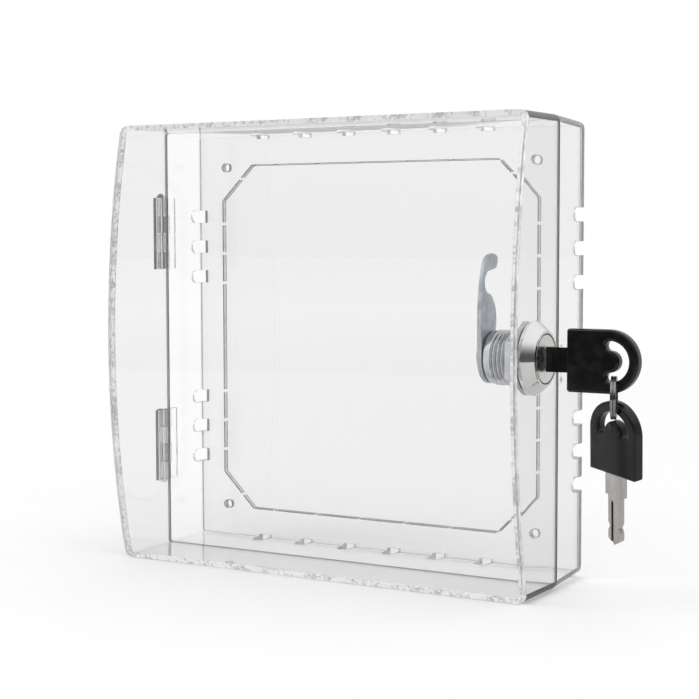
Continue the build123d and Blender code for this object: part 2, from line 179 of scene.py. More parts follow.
class Outputs:
    """The outputs of one node, by name."""

    def __init__(self, finish, node):
        self.finish = finish
        self.node = node

    def __getitem__(self, name):
        return Signal(self.finish, self.node.outputs[name])


class Finish:
    """A node tree under construction, for a material or for the world."""

    def __init__(self, owner):
        self.owner = owner
        owner.use_nodes = True
        self.tree = owner.node_tree
        self.tree.nodes.clear()

    def node(self, kind, settings=None, sockets=None):
        """Make a node: its settings first, then the values or links of its sockets."""
        node = self.tree.nodes.new(kind)
        for name, value in (settings or {}).items():
            if name == "stops":
                self.set_stops(node.color_ramp, value)
            else:
                setattr(node, name, value)
        for name, value in (sockets or {}).items():
            socket = node.inputs[name]
            if isinstance(value, Signal):
                self.tree.links.new(value.socket, socket)
            elif isinstance(value, bpy.types.NodeSocket):
                self.tree.links.new(value, socket)
            else:
                socket.default_value = value
        return Outputs(self, node)

    def set_stops(self, ramp, stops):
        while len(ramp.elements) < len(stops):
            ramp.elements.new(1.0)
        for element, (place, colour) in zip(ramp.elements, stops):
            element.position = place
            element.color = colour

    def place(self):
        """The point on the piece, in metres, as three signals."""
        point = self.node("ShaderNodeTexCoord")["Object"]
        split = self.node("ShaderNodeSeparateXYZ", None, {0: point})
        return point, split["X"], split["Y"], split["Z"]

    def clouds(self, point, size, detail=2.0, distortion=0.0):
        """Soft noise whose blobs are about the given size in metres."""
        sockets = {"Vector": point, "Scale": 1.0 / size, "Detail": detail, "Distortion": distortion}
        return self.node("ShaderNodeTexNoise", None, sockets)["Fac"]

    def mix_colour(self, share, first, second):
        settings = {"data_type": "RGBA"}
        return self.node("ShaderNodeMix", settings, {0: share, 6: first, 7: second})

    def bump(self, height, distance, strength=1.0):
        sockets = {"Height": height, "Distance": distance, "Strength": strength}
        return self.node("ShaderNodeBump", None, sockets)["Normal"]

    def surface(self, sockets):
        return self.node("ShaderNodeBsdfPrincipled", None, sockets)["BSDF"]

    def finish_with(self, shader):
        self.node("ShaderNodeOutputMaterial", None, {"Surface": shader})
        return self.owner


def grey(level, warmth=0.0):
    """A plain grey, a little warm or cool."""
    return (level + warmth, level, level - warmth, 1.0)


def new_finish(name):
    return Finish(bpy.data.materials.new(name))


# %% [markdown]
# ## Clear acrylic
# The sheets are polished acrylic: refraction, thin reflections, and a faint haze of handling marks in the gloss.
# The cover's walls and the rear sheet are tinted a darker grey than the front sheet and the base walls. That tint
# is painted shade for the grey these sheets show in a real room. Real glass stops lamp light in a path tracer, so
# for shadow rays the finish turns into a clear filter, which keeps the inside of the box as bright as it is.

# %% Clear acrylic finish
ACRYLIC_IOR = 1.49
LAST_BOUNCE = 8.5


def acrylic(name, tint, roughness, haze_size):
    finish = new_finish(name)
    point, _, _, _ = finish.place()
    haze = finish.clouds(point, haze_size, detail=3.0)
    clear = finish.surface({
        "Base Color": tint,
        "Roughness": haze.ramp(0.35, 0.8, roughness * 0.4, roughness * 1.6),
        "IOR": ACRYLIC_IOR,
        "Transmission Weight": 1.0,
    })
    light_path = finish.node("ShaderNodeLightPath")
    passing = finish.node("ShaderNodeBsdfTransparent", None, {"Color": tint})["BSDF"]
    let_out = light_path["Is Shadow Ray"] + (light_path["Ray Depth"] > LAST_BOUNCE)
    sockets = {"Fac": let_out, 1: clear, 2: passing}
    return finish.finish_with(finish.node("ShaderNodeMixShader", None, sockets)["Shader"])


front_acrylic = acrylic("clear_front_acrylic", grey(0.995), 0.01, 30 * MM)
# painted shade: the cover walls and the rear sheet get a darker grey tint than the same acrylic of the front sheet
# and the base
cover_acrylic_shaded = acrylic("cover_acrylic_painted_shade", grey(0.90, -0.001), 0.01, 30 * MM)
base_acrylic = acrylic("clear_base_acrylic", grey(1.0), 0.01, 30 * MM)
rear_acrylic_shaded = acrylic("rear_acrylic_painted_shade", grey(0.87, -0.001), 0.01, 30 * MM)
print("acrylic finishes", front_acrylic.name, cover_acrylic_shaded.name, rear_acrylic_shaded.name)

# %% [markdown]
# A saw leaves fine ridges across the edge of a sheet, and they scatter light instead of letting it through. The
# finish is part plain diffuse, part clear, with ridges in its tone and its bump. Its dark greys are painted shade:
# sawn rims, cemented rims and the near-black lips of the slits are drawn as the dark lines that refraction puts
# along them in a real room. Rims that were flamed or cemented are the same finish, only lighter and clearer.

# %% Sawn edge finishes
def sawn(name, tone, clearness, ridge):
    finish = new_finish(name)
    point, _, _, _ = finish.place()
    ridges = finish.clouds(point, ridge, detail=3.0)
    shade = finish.mix_colour(ridges.ramp(0.35, 0.7), grey(tone * 0.75), grey(tone * 1.2))
    return finish.finish_with(finish.surface({
        "Base Color": shade.node.outputs[2],
        "Roughness": ridges.ramp(0.3, 0.7, 0.3, 0.5),
        "IOR": ACRYLIC_IOR,
        "Transmission Weight": clearness,
        "Normal": finish.bump(ridges, 0.02 * MM, 0.5),
    }))


# painted shade: dark grey rims, lighter grey cemented rims and near-black lips; the frosted rim is the sheet's own
# pale frosting
sawn_edge_painted_shade = sawn("sawn_acrylic_edge_painted_shade", 0.15, 0.2, 0.8 * MM)
cemented_edge_painted_shade = sawn("cemented_acrylic_edge_painted_shade", 0.42, 0.45, 1.5 * MM)
frosted_edge = sawn("frosted_acrylic_edge", 0.92, 0.6, 2.5 * MM)
slit_lip_painted_shade = sawn("near_black_lip_painted_shade", 0.04, 0.1, 0.8 * MM)
print("edges", sawn_edge_painted_shade.name, cemented_edge_painted_shade.name, frosted_edge.name, slit_lip_painted_shade.name)

# %% [markdown]
# The hinges are moulded in clear plastic. Each small barrel bends light so strongly that its sides go dark in a
# real room, which a white room doesn't show by itself. So the finish carries a painted shade that grows darker
# where the surface turns away from the eye. The cover's knuckles get a darker tint and darker sides than the
# base's knuckles of the same plastic, which is also painted shade.

# %% Clear hinge plastic
def moulding(name, tint, painted_side_shade):
    finish = new_finish(name)
    point, _, _, _ = finish.place()
    flow = finish.clouds(point, 3 * MM, detail=2.0)
    turned_away = finish.node("ShaderNodeLayerWeight", None, {"Blend": 0.5})["Facing"]
    clear = finish.surface({
        "Base Color": grey(tint),
        "Roughness": flow.ramp(0.3, 0.7, 0.02, 0.09),
        "IOR": ACRYLIC_IOR,
        "Transmission Weight": 1.0,
    })
    # painted shade on the sides that turn away from the eye
    painted_dark_side = finish.node("ShaderNodeBsdfTransparent", None, {"Color": grey(painted_side_shade)})["BSDF"]
    sockets = {"Fac": turned_away.ramp(0.51, 0.62, 0.0, 0.97), 1: clear, 2: painted_dark_side}
    moulded = finish.node("ShaderNodeMixShader", None, sockets)["Shader"]
    light_path = finish.node("ShaderNodeLightPath")
    passing = finish.node("ShaderNodeBsdfTransparent", None, {"Color": grey(0.9)})["BSDF"]
    let_out = light_path["Is Shadow Ray"] + (light_path["Ray Depth"] > LAST_BOUNCE)
    sockets = {"Fac": let_out, 1: moulded, 2: passing}
    return finish.finish_with(finish.node("ShaderNodeMixShader", None, sockets)["Shader"])


hinge_plastic = moulding("clear_base_knuckles", 1.0, 0.3)
# painted shade: the same plastic as the base knuckles, tinted darker and with nearly black sides
shaded_cover_hinge_plastic = moulding("clear_cover_knuckles_painted_shade", 0.72, 0.04)
print("hinge plastic", hinge_plastic.name, shaded_cover_hinge_plastic.name)

# %% [markdown]
# ## Metals and black plastic
# Each metal differs in colour, in how sharp its gloss is and in the marks that making left in it: bright chrome on
# the lock, duller plating on its barrel and nut, grey die-cast zinc on the hook, brass wafers, nickel-plated key
# blades with grinding lines, a steel ring and pins. The pins' long dark and bright streaks are painted reflection,
# and the dark finishes in grooves and thread roots are painted shade.

# %% Metal finishes
def metal(name, colour, roughness, grain_size, wear_and_streaks=0.3, bump_depth=0.0, direction=(1, 1, 1),
          patch_edge=(0.35, 0.7)):
    """A metal whose gloss and colour vary over grains of one size; where the darkening is large and the patch edge
    sharp, its darker patches become painted reflection streaks.
    """
    finish = new_finish(name)
    point, _, _, _ = finish.place()
    stretched = finish.node("ShaderNodeMapping", None, {"Vector": point, "Scale": direction})["Vector"]
    grain = finish.clouds(stretched, grain_size, detail=4.0)
    patches_and_streaks = finish.clouds(stretched, grain_size * 6, detail=2.0)
    darker = tuple(channel * (1.0 - wear_and_streaks) for channel in colour[:3]) + (1.0,)
    tone = finish.mix_colour(patches_and_streaks.ramp(*patch_edge), colour, darker)
    sockets = {
        "Base Color": tone.node.outputs[2],
        "Metallic": 1.0,
        "Roughness": grain.ramp(0.25, 0.75, roughness * 0.7, roughness * 1.35),
    }
    if bump_depth:
        sockets["Normal"] = finish.bump(grain, bump_depth)
    return finish.finish_with(finish.surface(sockets))


chrome = metal("bright_chrome", grey(0.80, 0.006), 0.1, 2.5 * MM, wear_and_streaks=0.1)
plating = metal("dull_nickel_plating", (0.55, 0.56, 0.58, 1.0), 0.2, 2.0 * MM, wear_and_streaks=0.25)
zinc = metal("die_cast_zinc", (0.46, 0.49, 0.53, 1.0), 0.38, 0.5 * MM, wear_and_streaks=0.25, bump_depth=0.02 * MM)
brass = metal("stamped_brass", (0.78, 0.58, 0.27, 1.0), 0.24, 0.5 * MM, wear_and_streaks=0.2)
spring_steel = metal("spring_steel", grey(0.55), 0.22, 0.4 * MM)
# painted reflection: sharp-edged patches stretched along the pins darken them nearly to black in long streaks,
# standing in for the dark lines that a polished pin reflects
pin_steel_painted_streaks = metal("pin_steel_painted_streaks", grey(0.95), 0.1, 0.5 * MM, wear_and_streaks=0.9, direction=(1, 1, 0.03),
                  patch_edge=(0.47, 0.51))
blade_steel = metal("ground_key_blade", (0.60, 0.58, 0.56, 1.0), 0.2, 1.2 * MM, wear_and_streaks=0.15,
                    direction=(1, 1, 0.15))
ring_steel = metal("spring_ring_steel", grey(0.3), 0.1, 0.5 * MM, wear_and_streaks=0.2)
# painted shade: a near-black finish for the floors of grooves
groove_shadow = metal("groove_painted_shadow", grey(0.05), 0.5, 0.5 * MM, wear_and_streaks=0.3)
# painted shade in the roots of the thread
thread_root_shade = metal("thread_hollow_painted_shade", grey(0.2), 0.3, 1.0 * MM, wear_and_streaks=0.3)
plug_chrome = metal("satin_plug_face", (0.86, 0.845, 0.82, 1.0), 0.3, 1.5 * MM, wear_and_streaks=0.06)
print("metals", [m.name for m in (chrome, plating, zinc, brass, spring_steel, pin_steel_painted_streaks)])

# %% [markdown]
# The key bows are glossy black thermoplastic. The mould leaves a very fine grain that only shows
# as a slight break in the highlights, and pocket wear leaves soft duller patches.

# %% Black key plastic
black_plastic_finish = new_finish("black_key_plastic")
point, _, _, _ = black_plastic_finish.place()
rubbed = black_plastic_finish.clouds(point, 5 * MM, detail=3.0)
mould_grain = black_plastic_finish.clouds(point, 0.35 * MM, detail=2.0)
black_tone = black_plastic_finish.mix_colour(rubbed.ramp(0.4, 0.7), grey(0.004), grey(0.008))
black_plastic = black_plastic_finish.finish_with(black_plastic_finish.surface({
    "Base Color": black_tone.node.outputs[2],
    "Roughness": rubbed.ramp(0.3, 0.75, 0.08, 0.17),
    "IOR": 1.42,
    "Normal": black_plastic_finish.bump(mould_grain, 0.01 * MM, 0.4),
}))
print("plastic", black_plastic.name)

# %% [markdown]
# ## Which finish goes on which solid
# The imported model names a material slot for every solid. A table from slot to finish dresses
# them all at once.

# %% Dress the solids
FINISH_OF_SLOT = {
    "clear_acrylic": front_acrylic,
    "clear_hinge_plastic": hinge_plastic,
    "steel_pin": pin_steel_painted_streaks,
    "chrome_lock": chrome,
    "plated_steel": plating,
    "zinc_cam": zinc,
    "brass_wafers": brass,
    "spring_steel": spring_steel,
    "key_blade": blade_steel,
    "black_key_plastic": black_plastic,
    "ring_steel": ring_steel,
}
slot_of_node = {part["node"]: part["material_slot"] for part in frame["record"]["subparts"]}
for name, slot_name in slot_of_node.items():
    mesh = nodes[name].data
    mesh.materials.clear()
    mesh.materials.append(FINISH_OF_SLOT[slot_name])
print("slots", sorted(set(slot_of_node.values())))

# %% [markdown]
# ## Acrylic sheets with polished edges
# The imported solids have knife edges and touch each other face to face. Real sheets have a small
# polished edge that draws a bright or dark line round each one, and glued faces never quite
# become one. Each sheet is copied, welded, bevelled, and drawn in by a few hundredths of a
# millimetre, so that a ray always passes clearly from one sheet to the next.

# %% Copy, bevel and smooth a solid
POLISHED_EDGE = 0.25 * MM
SKIN_GAP = 0.03 * MM
SHARP_ANGLE = math.radians(32)
CURVE_ANGLE = math.radians(14)
FLAT_ANGLE = math.radians(1)


def welded_copy(*names):
    """The triangles of one or more solids, welded, with flat areas made into single faces."""
    shape = bmesh.new()
    for name in names:
        shape.from_mesh(nodes[name].data)
    bmesh.ops.remove_doubles(shape, verts=shape.verts, dist=0.002 * MM)
    flat = math.radians(0.2)
    bmesh.ops.dissolve_limit(shape, angle_limit=flat, verts=shape.verts, edges=shape.edges)
    return shape


def sharp_edges(shape, angle=SHARP_ANGLE):
    return [e for e in shape.edges if e.is_manifold and e.calc_face_angle(0.0) > angle]


def bevel_edges(shape, edges, width, segments=2, clamp=True):
    return bmesh.ops.bevel(
        shape, geom=edges, offset=width, offset_type="OFFSET", segments=segments,
        profile=0.5, affect="EDGES", material=-1, clamp_overlap=clamp,
    )


def draw_in(shape, distance):
    """Move every point a little way into the solid."""
    shape.normal_update()
    for vert in shape.verts:
        vert.co -= vert.normal * distance


def smooth_faces(shape, angle=CURVE_ANGLE, flat_area=None):
    """Shade smoothly across shallow edges, but keep faces larger than the flat area flat."""
    for face in shape.faces:
        face.smooth = True
    for edge in shape.edges:
        turn = edge.calc_face_angle(math.pi) if edge.is_manifold else math.pi
        edge.smooth = turn < angle
        if flat_area and turn > FLAT_ANGLE:
            edge.smooth = edge.smooth and max(f.calc_area() for f in edge.link_faces) < flat_area


def make_piece(name, shape, finishes, body, replaced=()):
    """Turn a bmesh into a piece that rides on a body, and hide the solids that it replaces."""
    mesh = bpy.data.meshes.new(name)
    open_edges = sum(not edge.is_manifold for edge in shape.edges)
    shape.to_mesh(mesh)
    shape.free()
    if open_edges:
        print(name, "has open edges:", open_edges)
    for finish in finishes:
        mesh.materials.append(finish)
    piece = bpy.data.objects.new(name, mesh)
    bpy.context.scene.collection.objects.link(piece)
    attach(piece, body)
    if replaced:
        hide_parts(*replaced)
    return piece


# %% Sheets of the base and the cover
body_of_node = {n: b for b, names in frame["record"]["behaviour"]["bodies"].items() for n in names}
GLUE_ROOM = 0.16 * MM
HOLE_FROM_SIDE = 17.5 * MM
HOLE_FROM_END = 15.0 * MM
SLIT_CLOSING = 0.4 * MM
SLIT_LIP = 0.17 * MM
SQUARE_ANGLE = math.radians(50)
SHORT_EDGE = 0.45 * MM
SIDE_NOTCH_CLOSING = 1.6 * MM
END_NOTCH_CLOSING = 2.3 * MM


def push_back_rim(shape):
    """Make room for the glue between the cover's walls and its bowed front sheet."""
    rim = [face for face in shape.faces if face.normal.y < -0.9]
    rim_points = {vert for face in rim for vert in face.verts}
    bmesh.ops.translate(shape, verts=list(rim_points), vec=(0, GLUE_ROOM, 0))


def rim_at(y):
    """A test for the rim of a box's walls that stands square to Y at one place."""
    return lambda face: abs(face.normal.y) > 0.9 and abs(face.calc_center_median().y - y) < 0.1 * MM


def is_sheet_edge(face):
    """Any cut through the front or the rear sheet: its rim, its holes and its slits."""
    return abs(face.normal.y) < 0.3


def from_side(face):
    middle = face.calc_center_median()
    return min(plate_high.x - middle.x, middle.x - plate_low.x)


def from_end(face):
    middle = face.calc_center_median()
    return min(plate_high.z - middle.z, middle.z - plate_low.z)


def is_side_notch_floor(face):
    """The floor of a vent's notch in the left or right rim of the rear sheet."""
    return abs(face.normal.x) > 0.9 and 0.7 * MM < from_side(face) < 7.0 * MM


def is_end_notch_floor(face):
    """The floor of a vent's notch in the top or bottom rim of the rear sheet."""
    return abs(face.normal.z) > 0.9 and 0.7 * MM < from_end(face) < 7.0 * MM


def is_vent_notch(face):
    nearest = min(from_side(face), from_end(face))
    return is_sheet_edge(face) and 0.7 * MM < nearest < 7.0 * MM


def is_screw_hole(face):
    middle = face.calc_center_median()
    across = min(abs(middle.x - base_low.x - HOLE_FROM_SIDE), abs(base_high.x - HOLE_FROM_SIDE - middle.x))
    up = min(abs(middle.z - base_low.z - HOLE_FROM_END), abs(base_high.z - HOLE_FROM_END - middle.z))
    return abs(face.normal.y) < 0.97 and math.hypot(across, up) < 2.6 * MM


def is_slit(face):
    """The walls of the slits that part the knock-out panel from the rear sheet."""
    return is_sheet_edge(face) and min(from_side(face), from_end(face)) > 8 * MM and not is_screw_hole(face)


def is_slit_end(face):
    square = all(edge.calc_face_angle(0.0) > math.radians(60) for edge in face.edges)
    return square and face.calc_area() < 3.5 * MM * MM


def is_slit_side(face):
    return is_slit(face) and not is_slit_end(face)


def is_lip(face):
    """The rounded lips of the slits and the screw holes, once their edges are bevelled, which are painted
    near-black as shade.
    """
    tilted = 0.3 < abs(face.normal.y) < 0.97
    return tilted and min(from_side(face), from_end(face)) > 8 * MM


def is_vent_wall(face):
    """The sides of the vents where they pass through the base's walls."""
    middle = face.calc_center_median()
    to_side = min(base_high.x - middle.x, middle.x - base_low.x)
    to_end = min(base_high.z - middle.z, middle.z - base_low.z)
    across_end = to_end < 2.5 * MM and abs(face.normal.z) < 0.3
    across_side = to_side < 2.5 * MM and abs(face.normal.x) < 0.3
    return (across_end or across_side) and face.calc_area() < 40 * MM * MM


def push_out(shape, test, distance):
    """Move the faces that pass a test outwards, so that the cut beside them gets narrower."""
    normals_at = {}
    for face in shape.faces:
        if test(face):
            for vert in face.verts:
                normals_at.setdefault(vert, []).append(face.normal.copy())
    for vert, normals in normals_at.items():
        middle = sum(normals, Vector()).normalized()
        spread = sum(middle.dot(normal) for normal in normals) / len(normals)
        vert.co += middle * distance / max(spread, 0.3)


def is_shaded_right_corner(face):
    """The rounded corners on the lock's side, which are painted with a dark edge finish as shade."""
    tilted = 0.25 < abs(face.normal.z) < 0.97 and abs(face.normal.y) < 0.3
    return tilted and face.calc_center_median().x > box_middle_x


def paint(shape, test, index):
    for face in shape.faces:
        if test(face):
            face.material_index = index


# Painted shade: the sawn, cemented and lip finishes draw dark lines on the split between base and cover, the rims
# of the rear sheet, the right corners, the floors of the side notches, one side of each screw hole and the lips of
# the slits.
EDGES = [sawn_edge_painted_shade, cemented_edge_painted_shade, frosted_edge, slit_lip_painted_shade]
SAWN_SHADE, CEMENTED_SHADE, FROSTED, LIP_SHADE = 1, 2, 3, 4
SHEETS = {
    "front_sheet": ("cover_front_panel", front_acrylic, [(is_sheet_edge, FROSTED)]),
    "cover_walls": ("cover_frame", cover_acrylic_shaded,
                    [(rim_at(frame_high.y), SAWN_SHADE), (is_shaded_right_corner, SAWN_SHADE)]),
    "back_sheet": ("base_back_plate", rear_acrylic_shaded,
                   [(is_sheet_edge, CEMENTED_SHADE), (is_slit, FROSTED), (is_vent_notch, FROSTED),
                    (is_side_notch_floor, SAWN_SHADE), (is_screw_hole, SAWN_SHADE)]),
    "base_walls": ("base_frame", base_acrylic,
                   [(is_vent_wall, FROSTED), (rim_at(base_low.y), SAWN_SHADE),
                    (rim_at(base_high.y), CEMENTED_SHADE), (is_shaded_right_corner, CEMENTED_SHADE)]),
    "keeper_tab": ("lock_keeper", base_acrylic, []),
}
for piece_name, (node_name, sheet_finish, rules) in SHEETS.items():
    sheet_shape = welded_copy(node_name)
    if node_name == "cover_frame":
        push_back_rim(sheet_shape)
    for test, index in rules:
        paint(sheet_shape, test, index)
    if node_name == "base_back_plate":
        push_out(sheet_shape, is_slit_side, SLIT_CLOSING)
        push_out(sheet_shape, is_side_notch_floor, SIDE_NOTCH_CLOSING)
        push_out(sheet_shape, is_end_notch_floor, END_NOTCH_CLOSING)
    if node_name == "base_back_plate":
        sheet_shape.normal_update()
        lips = [e for e in sharp_edges(sheet_shape) if any(map(is_slit, e.link_faces)) and abs(
            e.verts[0].co.y - e.verts[1].co.y) < 0.1 * MM]
        bevel_edges(sheet_shape, lips, SLIT_LIP, clamp=False)
        edges = [e for e in sharp_edges(sheet_shape, SQUARE_ANGLE) if e.calc_length() > SHORT_EDGE]
    else:
        edges = sharp_edges(sheet_shape)
    bevel_edges(sheet_shape, edges, POLISHED_EDGE)
    if node_name == "base_back_plate":
        sheet_shape.normal_update()
        paint(sheet_shape, is_lip, LIP_SHADE)
        lip_area = sum(f.calc_area() for f in sheet_shape.faces if f.material_index == LIP_SHADE) / MM ** 2
        print("lips of the slits, square mm", round(lip_area, 1))
    draw_in(sheet_shape, SKIN_GAP)
    smooth_faces(sheet_shape)
    sheet = make_piece(piece_name, sheet_shape, [sheet_finish] + EDGES,
                       body_of_node[node_name], [node_name])
    print(piece_name, "faces", len(sheet.data.polygons))

# %% [markdown]
# ## Glue between the walls and the front sheet
# The cover's walls are cemented to the bowed sheet. The cement traps rows of small bubbles, and they show through
# the sheet as a pale speckled band all round the front. The band is a thin layer as wide as the wall is thick,
# made from the front rim of the walls' own solid. The bubbles also carry a faint painted glow, an emission that
# stands in for light that runs along inside a clear sheet and leaves it at the bubbles.

# %% Bubbled glue finish
PAINTED_GLOW = 0.16

glue_finish = new_finish("bubbled_glue")
point, _, _, _ = glue_finish.place()
clusters = glue_finish.clouds(point, 8.5 * MM, detail=1.0)
bubbles = glue_finish.clouds(point, 1.5 * MM, detail=2.0, distortion=0.4)
cloudy = (clusters * 0.8 + bubbles * 0.7).ramp(0.5, 0.95, 0.55, 1.0)
glue_tone = glue_finish.mix_colour((clusters * 0.4 + bubbles * 0.6).ramp(0.36, 0.54), grey(0.76), grey(1.0))
bubble_skin = glue_finish.surface({
    "Base Color": glue_tone.node.outputs[2],
    "Roughness": clusters.ramp(0.3, 0.7, 0.3, 0.45),
    "Emission Color": glue_tone.node.outputs[2],
    # painted glow: the bubbles emit light though they are no lamp
    "Emission Strength": PAINTED_GLOW,
    "Normal": glue_finish.bump(bubbles, 0.1 * MM, 0.3),
})
clear_glue = glue_finish.node("ShaderNodeBsdfTransparent", None, {"Color": grey(1.0)})["BSDF"]
glue = glue_finish.finish_with(
    glue_finish.node("ShaderNodeMixShader", None, {"Fac": cloudy, 1: clear_glue, 2: bubble_skin})["Shader"]
)

# %% Glue band
GLUE_SQUEEZE = 0.9995
glue_shape = welded_copy("cover_frame")
bmesh.ops.delete(
    glue_shape, geom=[face for face in glue_shape.faces if face.normal.y > -0.9], context="FACES"
)
bmesh.ops.translate(glue_shape, verts=glue_shape.verts, vec=(0, 0.02 * MM, 0))
bmesh.ops.solidify(glue_shape, geom=glue_shape.faces, thickness=-0.08 * MM)
bmesh.ops.recalc_face_normals(glue_shape, faces=glue_shape.faces)
bmesh.ops.scale(glue_shape, verts=glue_shape.verts, vec=(1, 1, GLUE_SQUEEZE))
glue_band = make_piece("front_glue_band", glue_shape, [glue], "cover")
low = [min(v.co[i] for v in glue_band.data.vertices) / MM for i in range(3)]
high = [max(v.co[i] for v in glue_band.data.vertices) / MM for i in range(3)]
print("glue band", [round(v, 2) for v in low], [round(v, 2) for v in high])

# %% [markdown]
# ## Screws, keys, hinges and the hook
# Cast, stamped and moulded pieces never have knife edges. Each of these solids is copied, welded
# and given a small rounded edge of its own, which is what catches a thin highlight along it. The
# clear hinge leaves are also drawn in a little, so that they don't touch the walls.

# %% Round the edges of the hardware
HARDWARE = {
    "hook_cam": ("lock_cam", zinc, 0.3),
    "hook_cam_washer": ("cam_washer", plating, 0.15),
    "hook_cam_screw": ("cam_screw", plating, 0.1),
    "barrel_nut": ("lock_nut", plating, 0.3),
    "barrel_washer": ("lock_washer", plating, 0.12),
    "key_blade": ("key_1_blade", blade_steel, 0.15),
    "spare_key_blade": ("key_2_blade", blade_steel, 0.15),
    "key_bow": ("key_1_head", black_plastic, 0.3),
    "spare_key_bow": ("key_2_head", black_plastic, 0.3),
    "upper_pin": ("upper_hinge_pin", pin_steel_painted_streaks, 0.1),
    "lower_pin": ("lower_hinge_pin", pin_steel_painted_streaks, 0.1),
    "upper_base_knuckles": ("upper_hinge_base_leaf", hinge_plastic, 0.2),
    "upper_cover_knuckles": ("upper_hinge_cover_leaf", shaded_cover_hinge_plastic, 0.2),
    "lower_base_knuckles": ("lower_hinge_base_leaf", hinge_plastic, 0.2),
    "lower_cover_knuckles": ("lower_hinge_cover_leaf", shaded_cover_hinge_plastic, 0.2),
}
ROUNDING_ANGLE = math.radians(28)
LARGE_FLAT = 12 * MM * MM
GROOVE_DEPTH = 0.4 * MM


def paint_grooves(shape, index):
    """Paint the floors of the milled grooves, which lie just below a blade's two broad faces, with the dark
    painted shade.
    """
    broad = max(shape.faces, key=lambda face: face.calc_area()).normal.copy()
    heights = {face: broad.dot(face.calc_center_median()) for face in shape.faces}
    top, bottom = max(heights.values()), min(heights.values())
    for face, height in heights.items():
        below = min(top - height, height - bottom)
        if abs(face.normal.dot(broad)) > 0.9 and abs(below - GROOVE_DEPTH) < 0.05 * MM:
            face.material_index = index


NECK_DRAW = 2.7 * MM
NECK_SWELL = 0.06 * MM


def draw_neck_over(shape):
    """Draw the plastic of the key's neck out over its steel shoulder, up to the plug."""
    neck_end = min(vert.co.x for vert in shape.verts)
    for vert in shape.verts:
        if vert.co.x < neck_end + 0.05 * MM:
            vert.co.x -= NECK_DRAW
            vert.co.y += math.copysign(NECK_SWELL, vert.co.y - lock_centre.y)
            vert.co.z += math.copysign(NECK_SWELL, vert.co.z - lock_centre.z)


for piece_name, (node_name, hardware_finish, width) in HARDWARE.items():
    shape = welded_copy(node_name)
    if hardware_finish is blade_steel:
        paint_grooves(shape, 1)
    if node_name == "key_1_head":
        draw_neck_over(shape)
    bevel_edges(shape, sharp_edges(shape), width * MM)
    if hardware_finish in (hinge_plastic, shaded_cover_hinge_plastic):
        draw_in(shape, SKIN_GAP)
    smooth_faces(shape, ROUNDING_ANGLE, LARGE_FLAT)
    piece = make_piece(piece_name, shape, [hardware_finish, groove_shadow], body_of_node[node_name],
                       [node_name])
    print(piece_name, "faces", len(piece.data.polygons))

# %% [markdown]
# ## Lock body with its thread
# The body is turned from bar: a conical bezel outside the wall, a threaded barrel inside it, and a thin groove
# between the bezel and the plug. The groove's faces carry the dark groove finish and the roots of the thread a
# darker plating, both painted shade. A turned piece is one outline spun round its axis, so the outline carries the
# thread's ridges too.

# %% Turn the lock body
BARREL_BACK = lock_low.x - lock_centre.x
BEZEL_FACE = lock_high.x - lock_centre.x
BEZEL_RADIUS = (lock_high.z - lock_low.z) / 2
BARREL_RADIUS = 9.5 * MM
BORE_RADIUS = 6.05 * MM
RECESS_RADIUS = 8.35 * MM
RECESS_DEPTH = 2.1 * MM
THREAD_PITCH = 1.55 * MM
THREAD_DEPTH = 0.6 * MM


def thread_outline(start, end):
    """Ridges from one place along the barrel to another, as (radius, along) points."""
    points = []
    ridge_count = int((start - end) / THREAD_PITCH)
    for ridge in range(ridge_count):
        foot = start - ridge * THREAD_PITCH
        points += [
            (BARREL_RADIUS - THREAD_DEPTH, foot),
            (BARREL_RADIUS - THREAD_DEPTH, foot - 0.2 * THREAD_PITCH),
            (BARREL_RADIUS, foot - 0.5 * THREAD_PITCH),
            (BARREL_RADIUS, foot - 0.7 * THREAD_PITCH),
        ]
    return points


def turned(outline, centre, steps=96):
    """Spin a closed outline of (radius, along) points about the lock's axis."""
    shape = bmesh.new()
    points = [shape.verts.new(centre + Vector((along, 0.0, radius))) for radius, along in outline]
    edges = [shape.edges.new(pair) for pair in zip(points, points[1:] + points[:1])]
    bmesh.ops.spin(
        shape, geom=points + edges, cent=centre, axis=(1, 0, 0), dvec=(0, 0, 0),
        angle=math.tau, steps=steps, use_merge=True,
    )
    bmesh.ops.remove_doubles(shape, verts=shape.verts, dist=0.001 * MM)
    bmesh.ops.recalc_face_normals(shape, faces=shape.faces)
    return shape


body_outline = [
    (BORE_RADIUS, BARREL_BACK),
    (BORE_RADIUS, BEZEL_FACE - RECESS_DEPTH),
    (RECESS_RADIUS, BEZEL_FACE - RECESS_DEPTH),
    (RECESS_RADIUS, BEZEL_FACE - 0.6 * MM),
    (RECESS_RADIUS + 0.25 * MM, BEZEL_FACE - 0.25 * MM),
    (RECESS_RADIUS + 0.35 * MM, BEZEL_FACE),
    (RECESS_RADIUS + 1.0 * MM, BEZEL_FACE),
    (RECESS_RADIUS + 1.25 * MM, BEZEL_FACE - 0.12 * MM),
    (BEZEL_RADIUS - 0.1 * MM, 1.65 * MM),
    (BEZEL_RADIUS, 1.45 * MM),
    (BEZEL_RADIUS, 0.3 * MM),
    (BEZEL_RADIUS - 0.25 * MM, 0.05 * MM),
    (BARREL_RADIUS, 0.05 * MM),
    *thread_outline(-1.2 * MM, BARREL_BACK + 0.6 * MM),
    (BARREL_RADIUS - 0.5 * MM, BARREL_BACK + 0.3 * MM),
    (BARREL_RADIUS - 0.8 * MM, BARREL_BACK),
]
body_shape = turned(body_outline, lock_centre)


def is_barrel(face):
    return face.calc_center_median().x < lock_centre.x


def is_groove(face):
    middle = face.calc_center_median() - lock_centre
    radius = math.hypot(middle.y, middle.z)
    return middle.x > BEZEL_FACE - RECESS_DEPTH and radius < RECESS_RADIUS + 0.32 * MM


